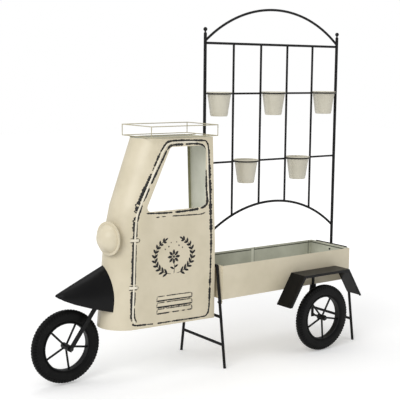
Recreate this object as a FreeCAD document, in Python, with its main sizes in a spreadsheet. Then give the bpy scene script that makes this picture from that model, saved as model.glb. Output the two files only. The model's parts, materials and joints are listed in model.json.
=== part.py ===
"""Flower cart stand: a half-round cab, a planter tray on splayed legs and a trellis that holds five pots.

X runs from the nose (-X) to the rear of the tray (+X), -Y is the side that faces the room and +Z is up.
Places are worked out from the tray's front face, its middle plane and the floor, and every piece is then
moved so that the origin lies on the floor under the middle of the whole stand.
"""
import FreeCAD, Part
import math
import os
import re

import Sketcher
from FreeCAD import Matrix, Placement, Rotation, Vector

# ---------------------------------------------------------------- driving sizes, in millimetres
SIZES = {
    # planter tray, folded from sheet
    "tray_length": 774, "tray_width": 271, "tray_height": 150, "tray_top": 452, "tray_sheet": 1.2,
    "hem_height": 8, "tray_flange": 14, "seam_width": 16,
    # splayed leg frames at the tray's two ends
    "leg_diameter": 13, "frame_gap": 0.3, "foot_spread": 334, "shoulder_spread": 206,
    "shoulder_drop": 3, "crossbar_height": 102, "cab_bar_height": 224, "leg_tab_width": 12,
    "leg_tab_drop": 20, "leg_bolt_drop": 11,
    # trellis; its head hangs from the top of the arch
    "post_diameter": 14, "post_foot_height": 410, "post_bolt_rise": 16, "upright_diameter": 10,
    "trellis_bar_diameter": 11, "arch_top_height": 1575, "arch_rise": 148, "top_bar_drop": 157,
    "post_top_drop": 113, "finial_drop": 98, "low_arch_top_height": 695, "low_arch_rise": 147,
    "upper_row_height": 1198, "lower_row_height": 892, "row_rod_diameter": 9,
    "finial_diameter": 18, "finial_neck_diameter": 8, "weld_depth": 1.5,
    # rings and pots
    "ring_diameter": 114, "ring_wire": 5, "pot_top_diameter": 106, "pot_base_diameter": 76,
    "pot_height": 104, "pot_sheet": 1.0, "pot_rim_wire": 5, "pot_clearance": 0.4,
    # cab
    "cab_width": 208, "cab_sheet": 1.2, "cab_bottom": 218, "cab_bottom_rise": 11, "cab_top": 1018,
    "cab_back": 21, "cab_back_lean": 17, "cab_back_bend_height": 560, "nose_depth": 112,
    "nose_low_axis": 429, "nose_bend_axis": 386, "nose_top_axis": 262, "nose_bend_height": 680,
    "window_sill_height": 717, "window_head_height": 982, "window_rear": 74,
    "window_front_low": 381, "window_front_high": 256, "window_corner": 18,
    "back_wall_inset": 34, "back_wall_flange": 14, "roof_recess": 3, "cab_bolt_low_height": 520,
    "cab_bolt_high_height": 670, "cab_bolt_spread": 120,
    # luggage rack on the roof
    "rack_front": 359, "rack_rear": 20, "rack_width": 230, "rack_height": 46, "rack_wire": 4,
    "rack_runner_spread": 104,
    "rack_weld_depth": 0.5,
    # headlight
    "headlight_diameter": 141, "headlight_dome_diameter": 120, "headlight_depth": 44,
    "headlight_lip": 4, "headlight_height": 611, "headlight_side": 32, "headlight_bearing": 11,
    "headlight_standoff": 17,
    "headlight_stem": 16, "headlight_sheet": 1.2,
    # wheels
    "wheel_radius": 155, "wheel_opening_radius": 98.5, "tyre_width": 36, "rim_thickness": 5,
    "rim_width": 26, "spoke_diameter": 9, "hub_diameter": 26, "axle_diameter": 10,
    "axle_clearance": 0.05, "washer_gap": 0.5, "nut_thickness": 7, "nut_width": 15,
    # front wheel, its blade and its fender
    "front_axle_reach": 679, "front_wheel_lift": 7, "front_wheel_side": 42,
    "front_hub_near_reach": 42, "front_hub_far_reach": 20,
    "blade_width": 18, "blade_thickness": 6, "blade_end": 12, "blade_top_reach": 508,
    "blade_top_height": 392, "nose_fender_side": 18, "nose_fender_reach": 737,
    "nose_fender_root": 505, "nose_fender_tip_height": 390, "nose_fender_ridge_rise": 102,
    "nose_fender_skirt_drop": 88, "nose_fender_skirt_depth": 34, "nose_fender_near_width": 81,
    "nose_fender_far_width": 62, "fender_sheet": 1.5,
    # rear wheel, its strap and its folded fender
    "rear_axle_inset": 237, "rear_wheel_lift": 2, "rear_wheel_side": 202, "rear_hub_length": 40,
    "strap_width": 13, "strap_thickness": 5, "strap_end": 10, "gusset_width": 34,
    "gusset_height": 28, "rear_fender_top": 375, "rear_fender_ahead": 137,
    "rear_fender_behind": 145, "rear_fender_width": 95, "flap_foot_height": 236,
    "flap_reach": 86, "fender_lip": 12,
    "fender_flange": 24, "fender_bolt_inset": 30, "strap_bolt_rise": 20,
    # fasteners
    "bolt_diameter": 5, "bolt_head_diameter": 9, "bolt_head_height": 3, "spacer_diameter": 10,
}
BAYS = 5
SPOKES = 5
UPPER_POT_BAYS = (0, 2, 4)
LOWER_POT_BAYS = (1, 3)
FIRST_SPOKE = {"front": 62, "rear": 59}

# ---------------------------------------------------------------- places worked out from the sizes
FRAME_REACH = "(frame_gap + max(post_diameter; leg_diameter) / 2)"
MIDDLE_X = (f"(tray_length + {FRAME_REACH} + post_diameter / 2 + bolt_head_height"
            " - front_axle_reach - wheel_radius) / 2")
MIDDLE_Y = "((foot_spread + leg_diameter - tray_width) / 2 - rear_fender_width) / 2"
TRAY_BOTTOM = "(tray_top - tray_height)"
FRONT_FRAME_X = f"(-{FRAME_REACH})"
REAR_FRAME_X = f"(tray_length + {FRAME_REACH})"
FRAME_SPAN = f"(tray_length + 2 * {FRAME_REACH})"
BAY = f"({FRAME_SPAN} / {BAYS})"
SHOULDER_HEIGHT = "(tray_top - shoulder_drop)"
LEG_LEAN = "((foot_spread - shoulder_spread) / 2)"
LEG_BOLT_HEIGHT = f"({TRAY_BOTTOM} - leg_bolt_drop)"
POST_BOLT_HEIGHT = "(post_foot_height + post_bolt_rise)"
POST_TOP = "(arch_top_height - post_top_drop)"
TOP_BAR = "(arch_top_height - top_bar_drop)"
TYRE_SEAT = "(wheel_opening_radius + rim_thickness)"
NOSE_FENDER_LENGTH = "(nose_fender_reach - nose_fender_root)"

ALONG_X = Rotation(Vector(0, 1, 0), 90)
ALONG_Y = Rotation(Vector(1, 0, 0), -90)
TOWARDS_NEAR = Rotation(Vector(1, 0, 0), 90)

doc = FreeCAD.newDocument("flower_cart_stand")
sheet = doc.addObject("Spreadsheet::Sheet", "Sizes")
for row, (name, size) in enumerate(SIZES.items(), start=1):
    sheet.set(f"A{row}", name)
    sheet.set(f"B{row}", str(size))
    sheet.setAlias(f"B{row}", name)
doc.recompute()

pieces = []


# ---------------------------------------------------------------- small helpers
def cells(rule):
    """A rule with the name of each size pointing at its cell."""
    def cell(word):
        return "Sizes." + word.group() if word.group() in SIZES else word.group()
    return re.sub(r"[a-z_]+[a-z_0-9]*", cell, rule)


def value(rule):
    """What a rule comes to, as a number."""
    result = sheet.evalExpression(cells(rule))
    return float(getattr(result, "Value", result))


def piece(label, shape):
    """Name a finished piece of the stand."""
    shape.Label = label
    pieces.append(shape)
    return shape


def put(shape, x, y, z, turn=None):
    """Place a shape: x from the tray's front face, y from its middle plane, z from the floor."""
    shape.Placement = Placement(Vector(), turn or Rotation())
    places = {"x": f"{x} - {MIDDLE_X}", "y": f"{y} - {MIDDLE_Y}", "z": z}
    for axis, rule in places.items():
        shape.setExpression("Placement.Base." + axis, cells(rule))
    return shape


def box(name, length, width, height, x, y, z):
    """A block from its lowest corner."""
    shape = doc.addObject("Part::Box", name)
    for side, rule in (("Length", length), ("Width", width), ("Height", height)):
        shape.setExpression(side, cells(rule))
    return put(shape, x, y, z)


def rod(name, diameter, length, x, y, z, turn=None):
    """A round bar that starts at a point and runs up, or along the axis that turn gives."""
    shape = doc.addObject("Part::Cylinder", name)
    shape.setExpression("Radius", cells(f"({diameter}) / 2"))
    shape.setExpression("Height", cells(length))
    return put(shape, x, y, z, turn)


def ball(name, diameter, x, y, z):
    shape = doc.addObject("Part::Sphere", name)
    shape.setExpression("Radius", cells(f"({diameter}) / 2"))
    return put(shape, x, y, z)


def ring(name, diameter, wire, x, y, z, turn=None):
    """A closed ring of round wire."""
    shape = doc.addObject("Part::Torus", name)
    shape.setExpression("Radius1", cells(f"({diameter}) / 2"))
    shape.setExpression("Radius2", cells(f"({wire}) / 2"))
    return put(shape, x, y, z, turn)


def joined(name, shapes):
    shape = doc.addObject("Part::MultiFuse", name)
    shape.Shapes = shapes
    return shape


def less(name, base, tool):
    shape = doc.addObject("Part::Cut", name)
    shape.Base = base
    shape.Tool = tool
    return shape


def group(name, shapes):
    """Several separate solids that share one name."""
    shape = doc.addObject("Part::Compound", name)
    shape.Links = shapes
    return shape


def formed(name, shape):
    """A piece whose shape is worked out here from the sizes, in the same places as the others."""
    feature = doc.addObject("Part::Feature", name)
    feature.Shape = shape
    feature.Placement = Placement(Vector(-value(MIDDLE_X), -value(MIDDLE_Y), 0), Rotation())
    return feature


def outline(body, plane, corners):
    """A closed outline on one of the body's own planes, each corner held by two rules."""
    sketch = body.newObject("Sketcher::SketchObject", body.Name + "_outline")
    support = [face for face in body.Origin.OriginFeatures if face.Role == plane]
    sketch.AttachmentSupport = [(support[0], "")]
    sketch.MapMode = "FlatFace"
    points = [Vector(value(across), value(up), 0) for across, up in corners]
    for start, end in zip(points, points[1:] + points[:1]):
        sketch.addGeometry(Part.LineSegment(start, end))
    for index, (across, up) in enumerate(corners):
        following = (index + 1) % len(corners)
        sketch.addConstraint(Sketcher.Constraint("Coincident", index, 2, following, 1))
        for kind, rule in (("DistanceX", across), ("DistanceY", up)):
            held = Sketcher.Constraint(kind, -1, 1, index, 1, value(rule))
            number = sketch.addConstraint(held)
            name = f"corner_{index}_{kind}"
            sketch.renameConstraint(number, name)
            sketch.setExpression("Constraints." + name, cells(rule))
    return sketch


def bolt(name, x, y, z, grip, along):
    """A round-headed bolt with its nut: the head's seat is at the point given, the nut at the grip's end."""
    def part(suffix, diameter, length, step):
        shifted = (f"{x} + ({step})", y) if along is ALONG_X else (x, f"{y} + ({step})")
        return rod(name + suffix, diameter, length, *shifted, z, along)

    return joined(name, [
        part("_head", "bolt_head_diameter", "bolt_head_height", "-bolt_head_height"),
        part("_shank", "bolt_diameter", f"{grip} + bolt_head_height", "0"),
        part("_nut", "bolt_head_diameter", "bolt_head_height", grip),
    ])


# ---------------------------------------------------------------- planter tray
def tray_side(label, side):
    """A long side: a flat panel with a hem folded in along the top and a flange along the bottom."""
    body = doc.addObject("PartDesign::Body", label)
    half = "tray_width / 2"
    corners = [
        (half, TRAY_BOTTOM),
        (half, "tray_top"),
        (f"{half} - 2 * tray_sheet", "tray_top"),
        (f"{half} - 2 * tray_sheet", "tray_top - hem_height"),
        (f"{half} - tray_sheet", "tray_top - hem_height"),
        (f"{half} - tray_sheet", f"{TRAY_BOTTOM} + tray_sheet"),
        (f"{half} - tray_flange", f"{TRAY_BOTTOM} + tray_sheet"),
        (f"{half} - tray_flange", TRAY_BOTTOM),
    ]
    profile = outline(body, "YZ_Plane", [(f"{side} * ({across})", up) for across, up in corners])
    pad = body.newObject("PartDesign::Pad", label + "_pad")
    pad.Profile = profile
    pad.setExpression("Length", cells("tray_length - 2 * tray_sheet"))
    put(body, "tray_sheet", "0", "0")
    return piece(label, body)


def leg_side(height):
    """How far the middle of a leg is from the middle plane at a height."""
    return f"(foot_spread / 2 - {LEG_LEAN} * {height} / {SHOULDER_HEIGHT})"


def tray_end(label, outer, inwards):
    """An end panel with its hem, a flange under the floor, a flange along each long side and a tab
    below for each leg."""
    def across(name, near, depth, width, height, y, z):
        start = f"{outer} + {near}" if inwards > 0 else f"{outer} - {near} - {depth}"
        return box(label + name, depth, width, height, start, y, z)

    half = "tray_width / 2"
    fold = "(tray_flange - tray_sheet)"
    flange_height = "tray_height - hem_height - 3 * tray_sheet"
    shapes = [
        across("_panel", "0", "tray_sheet", "tray_width", "tray_height", f"-{half}", TRAY_BOTTOM),
        across("_hem", "tray_sheet", "tray_sheet", "tray_width - 4 * tray_sheet", "hem_height",
               f"-{half} + 2 * tray_sheet", "tray_top - hem_height"),
        across("_foot", "tray_sheet", fold, "tray_width - 2 * tray_flange", "tray_sheet",
               f"-{half} + tray_flange", TRAY_BOTTOM),
    ]
    for side, y in ((-1, f"-{half} + tray_sheet"), (1, f"{half} - 2 * tray_sheet")):
        shapes.append(across(f"_flange_{side + 1}", "tray_sheet", fold, "tray_sheet", flange_height,
                             y, f"{TRAY_BOTTOM} + 2 * tray_sheet"))
        tab_y = f"{side} * {leg_side(LEG_BOLT_HEIGHT)} - leg_tab_width / 2"
        shapes.append(across(f"_tab_{side + 1}", "0", "tray_sheet", "leg_tab_width", "leg_tab_drop",
                             tab_y, f"{TRAY_BOTTOM} - leg_tab_drop"))
    return piece(label, joined(label, shapes))


tray_floor = piece("tray_floor", box(
    "tray_floor", "tray_length - 2 * tray_sheet", "tray_width - 2 * tray_sheet", "tray_sheet",
    "tray_sheet", "-tray_width / 2 + tray_sheet", f"{TRAY_BOTTOM} + tray_sheet"))
tray_side("tray_near_side", -1)
tray_side("tray_far_side", 1)
tray_end("tray_front_end", "0", 1)
tray_end("tray_rear_end", "tray_length", -1)
piece("tray_seam_strip", box(
    "tray_seam_strip", "seam_width", "tray_sheet", "tray_height - hem_height - 2 * tray_sheet",
    "(tray_length - seam_width) / 2", "tray_width / 2 - 2 * tray_sheet",
    f"{TRAY_BOTTOM} + 2 * tray_sheet"))


# ---------------------------------------------------------------- leg frames
def leg(label, frame_x, side):
    """A leg that leans in from its foot to the tray's shoulder, cut level at both ends."""
    foot = doc.addObject("Part::Circle", label + "_foot")
    foot.setExpression("Radius", cells("leg_diameter / 2"))
    put(foot, frame_x, f"{side} * foot_spread / 2", "0")
    shape = doc.addObject("Part::Extrusion", label)
    shape.Base = foot
    shape.DirMode = "Custom"
    shape.Dir = Vector(0, 0, 1)
    shape.setExpression("Dir.y", cells(f"-{side} * {LEG_LEAN}"))
    shape.setExpression("Dir.z", cells(SHOULDER_HEIGHT))
    shape.setExpression("LengthFwd", cells(f"sqrt({LEG_LEAN}^2 + {SHOULDER_HEIGHT}^2)"))
    shape.Solid = True
    return piece(label, shape)


def crossbar(label, frame_x, height):
    """A bar between the two legs of one frame, welded to both."""
    reach = f"({leg_side(height)} - leg_diameter / 2 + weld_depth)"
    return piece(label, rod(label, "leg_diameter", f"2 * {reach}", frame_x, f"-{reach}", height, ALONG_Y))


def shoulder_bars(label, frame_x):
    """Two short bars with round elbows that weld the trellis post to the tops of the legs."""
    start = "(post_diameter / 2 - weld_depth)"
    length = f"shoulder_spread / 2 - {start}"
    bars = []
    for side, turn in ((-1, TOWARDS_NEAR), (1, ALONG_Y)):
        name = f"{label}_{side + 1}"
        bar = rod(name, "leg_diameter", length, frame_x, f"{side} * {start}", SHOULDER_HEIGHT, turn)
        elbow = ball(name + "_elbow", "leg_diameter", frame_x, f"{side} * shoulder_spread / 2",
                     SHOULDER_HEIGHT)
        bars.append(joined(name + "_welded", [bar, elbow]))
    return piece(label, group(label, bars))


for end, frame_x in (("front", FRONT_FRAME_X), ("rear", REAR_FRAME_X)):
    leg(end + "_near_leg", frame_x, -1)
    leg(end + "_far_leg", frame_x, 1)
    crossbar(end + "_crossbar", frame_x, "crossbar_height")
    shoulder_bars(end + "_shoulder_bars", frame_x)
crossbar("cab_support_bar", FRONT_FRAME_X, "cab_bar_height")


# ---------------------------------------------------------------- trellis
def upright_x(number):
    return f"({FRONT_FRAME_X} + {BAY} * {number})"


def arch_radius(rise):
    return f"(({FRAME_SPAN}^2 / 4 + {rise}^2) / (2 * {rise}))"


def arch(label, top, rise):
    """A bar bent to one arc that springs from both posts."""
    radius = arch_radius(rise)
    half_angle = f"asin({FRAME_SPAN} / 2 / {radius})"
    start = doc.addObject("Part::Circle", label + "_section")
    start.setExpression("Radius", cells("trellis_bar_diameter / 2"))
    put(start, FRONT_FRAME_X, "0", f"{top} - {rise}", Rotation(Vector(0, 1, 0), 45))
    start.setExpression("Placement.Rotation.Angle", cells(f"90deg - {half_angle}"))
    shape = doc.addObject("Part::Revolution", label)
    shape.Source = start
    shape.Axis = Vector(0, 1, 0)
    shape.setExpression("Base.x", cells(f"{FRONT_FRAME_X} + {FRAME_SPAN} / 2 - {MIDDLE_X}"))
    shape.setExpression("Base.y", cells(f"-{MIDDLE_Y}"))
    shape.setExpression("Base.z", cells(f"{top} - {radius}"))
    shape.setExpression("Angle", cells(f"2 * {half_angle}"))
    shape.Solid = True
    return piece(label, shape)


def finial(label, frame_x):
    """A ball on a narrow neck, on the top of a post."""
    neck = rod(label + "_neck", "finial_neck_diameter", "post_top_drop - finial_drop",
               frame_x, "0", POST_TOP)
    knob = ball(label + "_ball", "finial_diameter", frame_x, "0", "arch_top_height - finial_drop")
    return piece(label, joined(label, [neck, knob]))


def pot_ring(label, bay, height):
    """A wire ring between two uprights, with a stub welded to each of them."""
    middle = f"({upright_x(bay)} + {BAY} / 2)"
    hoop = ring(label + "_hoop", "ring_diameter", "ring_wire", middle, "0", height)
    left = "post_diameter" if bay == 0 else "upright_diameter"
    right = "post_diameter" if bay == BAYS - 1 else "upright_diameter"
    reach = f"({BAY} / 2 - ring_diameter / 2)"
    stubs = [
        rod(label + "_front_stub", "ring_wire", f"{reach} - {left} / 2 + weld_depth",
            f"{upright_x(bay)} + {left} / 2 - weld_depth", "0", height, ALONG_X),
        rod(label + "_rear_stub", "ring_wire", f"{reach} - {right} / 2 + weld_depth",
            f"{middle} + ring_diameter / 2", "0", height, ALONG_X),
    ]
    return piece(label, joined(label, [hoop] + stubs))


def pot(label, bay, height):
    """A tapered pot with a rolled rim that sits just over its ring."""
    middle = f"({upright_x(bay)} + {BAY} / 2)"
    roll_diameter = "(pot_top_diameter + pot_rim_wire - pot_sheet)"
    apart = "(ring_wire / 2 + pot_rim_wire / 2 + pot_clearance)"
    rim = f"({height} + sqrt({apart}^2 - (ring_diameter - {roll_diameter})^2 / 4))"
    base = f"({rim} - pot_height)"

    def cone(name, less_by, floor):
        shape = doc.addObject("Part::Cone", name)
        shape.setExpression("Radius1", cells(f"pot_base_diameter / 2 - {less_by}"))
        shape.setExpression("Radius2", cells(f"pot_top_diameter / 2 - {less_by}"))
        shape.setExpression("Height", cells(f"pot_height - {floor}"))
        return put(shape, middle, "0", f"{base} + {floor}")

    wall = less(label + "_wall", cone(label + "_outer", "0", "0"),
                cone(label + "_inner", "pot_sheet", "pot_sheet"))
    roll = ring(label + "_roll", roll_diameter, "pot_rim_wire", middle, "0", rim)
    return piece(label, joined(label, [wall, roll]))


for end, frame_x in (("front", FRONT_FRAME_X), ("rear", REAR_FRAME_X)):
    post_length = f"{POST_TOP} - post_foot_height"
    piece(end + "_trellis_post", rod(end + "_trellis_post", "post_diameter", post_length, frame_x, "0",
                                     "post_foot_height"))
    finial(end + "_finial", frame_x)

BAR_START = f"({FRONT_FRAME_X} + post_diameter / 2 - weld_depth)"
piece("trellis_top_bar", rod(
    "trellis_top_bar", "trellis_bar_diameter", f"{FRAME_SPAN} - post_diameter + 2 * weld_depth",
    BAR_START, "0", TOP_BAR, ALONG_X))
arch("trellis_arch", "arch_top_height", "arch_rise")
arch("trellis_low_arch", "low_arch_top_height", "low_arch_rise")

low_radius = arch_radius("low_arch_rise")
for number in range(1, BAYS):
    from_middle = f"({FRAME_SPAN} / 2 - {BAY} * {number})"
    foot = f"(low_arch_top_height - {low_radius} + sqrt({low_radius}^2 - {from_middle}^2))"
    name = f"trellis_upright_{number}"
    piece(name, rod(name, "upright_diameter", f"{TOP_BAR} - {foot}", upright_x(number), "0", foot))

row_rods = []
for height, pot_bays in (("upper_row_height", UPPER_POT_BAYS), ("lower_row_height", LOWER_POT_BAYS)):
    for bay in sorted(set(range(BAYS)) - set(pot_bays)):
        left = "post_diameter" if bay == 0 else "upright_diameter"
        right = "post_diameter" if bay == BAYS - 1 else "upright_diameter"
        row_rods.append(rod(
            f"{height}_rod_{bay}", "row_rod_diameter",
            f"{BAY} - {left} / 2 - {right} / 2 + 2 * weld_depth",
            f"{upright_x(bay)} + {left} / 2 - weld_depth", "0", height, ALONG_X))
piece("trellis_row_rods", group("trellis_row_rods", row_rods))

pot_places = [(bay, "upper_row_height") for bay in UPPER_POT_BAYS]
pot_places += [(bay, "lower_row_height") for bay in LOWER_POT_BAYS]
for number, (bay, height) in enumerate(pot_places, start=1):
    pot_ring(f"pot_ring_{number}", bay, height)
    pot(f"pot_{number}", bay, height)


# ---------------------------------------------------------------- cab
def half_ellipse(axis_x, depth, half_width, height):
    """The nose in plan: half an ellipse from the near side round the front to the far side."""
    half_circle = Part.makeCircle(1, Vector(), Vector(0, 0, 1), 90, 270)
    scale = Matrix()
    scale.scale(depth, half_width, 1)
    edge = half_circle.transformGeometry(scale).Edges[0]
    edge.translate(Vector(axis_x, 0, height))
    return edge


def nose_axis(height):
    """Where the nose's ellipse has its middle: the front leans back more above the bend."""
    bend = value("nose_bend_height")
    low, middle, top = (-value(name) for name in ("nose_low_axis", "nose_bend_axis", "nose_top_axis"))
    if height < bend:
        share = (height - value("cab_bottom")) / (bend - value("cab_bottom"))
        return low + share * (middle - low)
    return middle + (height - bend) / (value("cab_top") - bend) * (top - middle)


def cab_levels():
    """Heights of the plan sections, with a short blend round the bend of the windscreen."""
    bend, blend = value("nose_bend_height"), value("nose_depth") / 2
    return [value("cab_bottom"), bend - blend, bend + blend, value("cab_top")]


def cab_form(inset):
    """The solid that the cab's sheet wraps, made smaller all round by inset."""
    half = value("cab_width") / 2 - inset
    depth = value("nose_depth") - inset
    wires = []
    for height in cab_levels():
        axis = nose_axis(height)
        front = half_ellipse(axis, depth, half, height)
        near, far = Vector(axis, -half, height), Vector(axis, half, height)
        near_back, far_back = Vector(0, -half, height), Vector(0, half, height)
        edges = [front, Part.makeLine(far, far_back), Part.makeLine(far_back, near_back),
                 Part.makeLine(near_back, near)]
        wires.append(Part.Wire(Part.__sortEdges__(edges)))
    return Part.makeLoft(wires, True, True)


def cab_side_view(inset):
    """The cab seen from the near side, as a block across its whole width: a bottom that rises to the
    nose, a level top and a back that leans forwards above its bend."""
    bottom, top = value("cab_bottom"), value("cab_top")
    back, lean = -value("cab_back") - inset, value("cab_back_lean")
    nose = -value("nose_low_axis") - value("nose_depth")
    across = value("cab_width")
    corners = [
        Vector(back, -across, bottom),
        Vector(back, -across, value("cab_back_bend_height")),
        Vector(back - lean, -across, top),
        Vector(nose - across, -across, top),
        Vector(nose - across, -across, bottom + value("cab_bottom_rise") * (across - nose) / -nose),
    ]
    face = Part.Face(Part.makePolygon(corners + corners[:1]))
    return face.extrude(Vector(0, 2 * across, 0))


def window_block():
    """The window's outline with rounded corners, as a block through the near side only."""
    sill, head = value("window_sill_height"), value("window_head_height")
    start = -value("cab_width")
    corners = [
        Vector(-value("window_front_low"), start, sill),
        Vector(-value("window_front_high"), start, head),
        Vector(-value("window_rear"), start, head),
        Vector(-value("window_rear"), start, sill),
    ]
    block = Part.Face(Part.makePolygon(corners + corners[:1])).extrude(Vector(0, -start, 0))
    upright = [edge for edge in block.Edges if abs(edge.tangentAt(edge.FirstParameter).y) > 0.99]
    return block.makeFillet(value("window_corner"), upright)


sheet_inset = value("cab_sheet")
outer_form = cab_form(0)
inner_form = cab_form(sheet_inset)
open_far_side = Part.makeBox(value("nose_low_axis"), value("cab_width"), value("cab_top") * 2,
                             Vector(nose_axis(value("cab_bottom")), 0, 0))


def cab_skin():
    """One sheet: the near side and the rounded nose, open below, behind and on the far side."""
    shell = outer_form.cut(inner_form)
    half = value("cab_width") / 2
    back_of_far_side = []
    for height in cab_levels():
        axis = nose_axis(height)
        back_of_far_side.append(Part.makePolygon([
            Vector(axis, 0, height), Vector(value("cab_width"), 0, height),
            Vector(value("cab_width"), 2 * half, height), Vector(axis, 2 * half, height),
            Vector(axis, 0, height)]))
    shell = shell.cut(Part.makeLoft(back_of_far_side, True, True))
    return shell.common(cab_side_view(0)).cut(window_block())


def cab_back_wall():
    """The back wall, bent along the same line as the side. It stops short of the far side, with a
    flange on its edge there that ends under the roof."""
    half = value("cab_width") / 2
    edge = half - value("back_wall_inset")
    within = Part.makeBox(4 * half, edge + half - sheet_inset, value("cab_top"),
                          Vector(-3 * half, -half + sheet_inset, 0))
    wall = cab_side_view(0).cut(cab_side_view(sheet_inset))
    flange = cab_side_view(sheet_inset).cut(cab_side_view(value("back_wall_flange")))
    below_roof = value("cab_top") - value("roof_recess") - sheet_inset
    at_far_edge = Part.makeBox(4 * half, sheet_inset, below_roof,
                               Vector(-3 * half, edge - sheet_inset, 0))
    return wall.common(within).fuse(flange.common(at_far_edge)).removeSplitter()


def cab_roof():
    """A plate let in below the top edge of the side and the nose, with a rim along its far edge."""
    half = value("cab_width") / 2
    level = value("cab_top") - value("roof_recess")
    inside = inner_form.common(cab_side_view(sheet_inset))
    length = value("nose_low_axis") + value("nose_depth")
    plate = inside.common(Part.makeBox(length, 2 * half, sheet_inset,
                                       Vector(-length, -half, level - sheet_inset)))
    rim = inside.common(Part.makeBox(-nose_axis(value("cab_top")), sheet_inset, value("roof_recess"),
                                     Vector(nose_axis(value("cab_top")), half - 2 * sheet_inset, level)))
    return plate.fuse(rim).removeSplitter()


piece("cab_skin", formed("cab_skin", cab_skin()))
piece("cab_back_wall", formed("cab_back_wall", cab_back_wall()))
piece("cab_roof", formed("cab_roof", cab_roof()))


# ---------------------------------------------------------------- roof rack
RUNNER = "(cab_top + rack_wire / 2 - rack_weld_depth)"
LOW_RAIL = f"({RUNNER} + rack_wire - rack_weld_depth)"


def rack_rail(label, height, runners=()):
    """A rectangle of wire that stands out past the roof all round. At the welded corners each wire
    runs on past the middle of the other."""
    length = "rack_front - rack_rear + 2 * rack_weld_depth"
    start = "-rack_front - rack_weld_depth"
    sides = [rod(f"{label}_runner_{number}", "rack_wire", length, start,
                 f"{side} * rack_runner_spread / 2", RUNNER, ALONG_X)
             for number, side in enumerate(runners)]
    for side in (-1, 1):
        sides.append(rod(f"{label}_side_{side + 1}", "rack_wire", length, start,
                         f"{side} * rack_width / 2", height, ALONG_X))
    for name, x in (("_front", "-rack_front"), ("_rear", "-rack_rear")):
        sides.append(rod(label + name, "rack_wire", "rack_width + 2 * rack_weld_depth", x,
                         "-rack_width / 2 - rack_weld_depth", height, ALONG_Y))
    return piece(label, joined(label, sides))


rack_rail("rack_low_rail", LOW_RAIL, runners=(-1, 1))
rack_rail("rack_top_rail", f"{LOW_RAIL} + rack_height")
rack_posts = []
for x in ("-rack_front", "-rack_rear"):
    for side in (-1, 1):
        rack_posts.append(rod(f"rack_post_{len(rack_posts) + 1}", "rack_wire", "rack_height", x,
                              f"{side} * rack_width / 2", LOW_RAIL))
piece("rack_posts", group("rack_posts", rack_posts))


# ---------------------------------------------------------------- headlight
def headlight_place():
    """A point on the nose, near side of its middle, and the way that the lamp there faces."""
    height, side = value("headlight_height"), value("headlight_side")
    reach = value("nose_depth") * math.sqrt(1 - (side / (value("cab_width") / 2)) ** 2)
    bearing = math.radians(value("headlight_bearing"))
    return Vector(nose_axis(height) - reach, -side, height), Vector(-math.cos(bearing), -math.sin(bearing), 0)


def headlight_bowl():
    """A domed bowl with a flat rim and a lip folded back from it."""
    rim, dome = value("headlight_diameter") / 2, value("headlight_dome_diameter") / 2
    depth, lip, thick = value("headlight_depth"), value("headlight_lip"), value("headlight_sheet")

    def cap(radius, height):
        ball = (radius ** 2 + height ** 2) / (2 * height)
        low = Vector(0, 0, height - ball)
        return Part.makeSphere(ball, low).common(Part.makeCylinder(radius, height, Vector()))

    dome_sheet = cap(dome, depth).cut(cap(dome - thick, depth - thick))
    rim_sheet = Part.makeCylinder(rim, thick).cut(Part.makeCylinder(dome - thick, thick))
    lip_sheet = Part.makeCylinder(rim, lip, Vector(0, 0, -lip)).cut(
        Part.makeCylinder(rim - thick, lip, Vector(0, 0, -lip)))
    return dome_sheet.fuse([rim_sheet, lip_sheet]).removeSplitter()


lamp_point, lamp_way = headlight_place()
lamp_turn = Rotation(Vector(0, 0, 1), lamp_way)
lamp_front = lamp_point + lamp_way * (value("headlight_standoff") + value("headlight_lip"))


def facing(shape, point):
    """A shape that was made along Z from the origin, moved to a point and turned the lamp's way."""
    return shape.transformed(Placement(point, lamp_turn).toMatrix(), True)


piece("headlight_bowl", formed("headlight_bowl", facing(headlight_bowl(), lamp_front)))
stem_length = value("headlight_standoff + headlight_lip + headlight_depth - headlight_sheet")
stem = Part.makeCylinder(value("headlight_stem") / 2, stem_length)
piece("headlight_stem", formed("headlight_stem", facing(stem, lamp_point).cut(outer_form)))


# ---------------------------------------------------------------- wheels
def tyre(label, x, y, z):
    """A tyre with a flat tread and full sides, turned about its axle."""
    body = doc.addObject("PartDesign::Body", label)
    height = f"(wheel_radius - {TYRE_SEAT})"
    half_section = ((0, 0.62), (0.10, 0.86), (0.32, 1), (0.66, 1), (0.88, 0.86), (1, 0.6))
    corners = [(f"{TYRE_SEAT} + {height} * {up}", f"tyre_width / 2 * {out}") for up, out in half_section]
    corners += [(across, f"-{out}") for across, out in reversed(corners)]
    profile = outline(body, "XY_Plane", corners)
    turned = body.newObject("PartDesign::Revolution", label + "_turned")
    turned.Profile = profile
    turned.ReferenceAxis = (profile, ["V_Axis"])
    turned.Angle = 360
    put(body, x, y, z)
    return piece(label, body)


def wheel_rim(label, x, y, z, hub_start, hub_end, first_spoke):
    """A rim with its spokes and its hub, welded into one, and a hole for the axle."""
    def barrel(name, diameter, start, end):
        return rod(label + name, diameter, f"({end}) - ({start})", x, start, z, ALONG_Y)

    rim_sides = (f"{y} - rim_width / 2", f"{y} + rim_width / 2")
    band = less(label + "_band", barrel("_outside", f"2 * {TYRE_SEAT}", *rim_sides),
                barrel("_inside", "2 * wheel_opening_radius", *rim_sides))
    shapes = [band, barrel("_hub", "hub_diameter", hub_start, hub_end)]
    for number in range(SPOKES):
        turn = Rotation(Vector(0, 1, 0), 90 - first_spoke - number * 360 / SPOKES)
        shapes.append(rod(f"{label}_spoke_{number}", "spoke_diameter",
                          "wheel_opening_radius + rim_thickness / 2", x, y, z, turn))
    bore = barrel("_bore", "axle_diameter + 2 * axle_clearance", hub_start, hub_end)
    return piece(label, less(label, joined(label + "_welded", shapes), bore))


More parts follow.
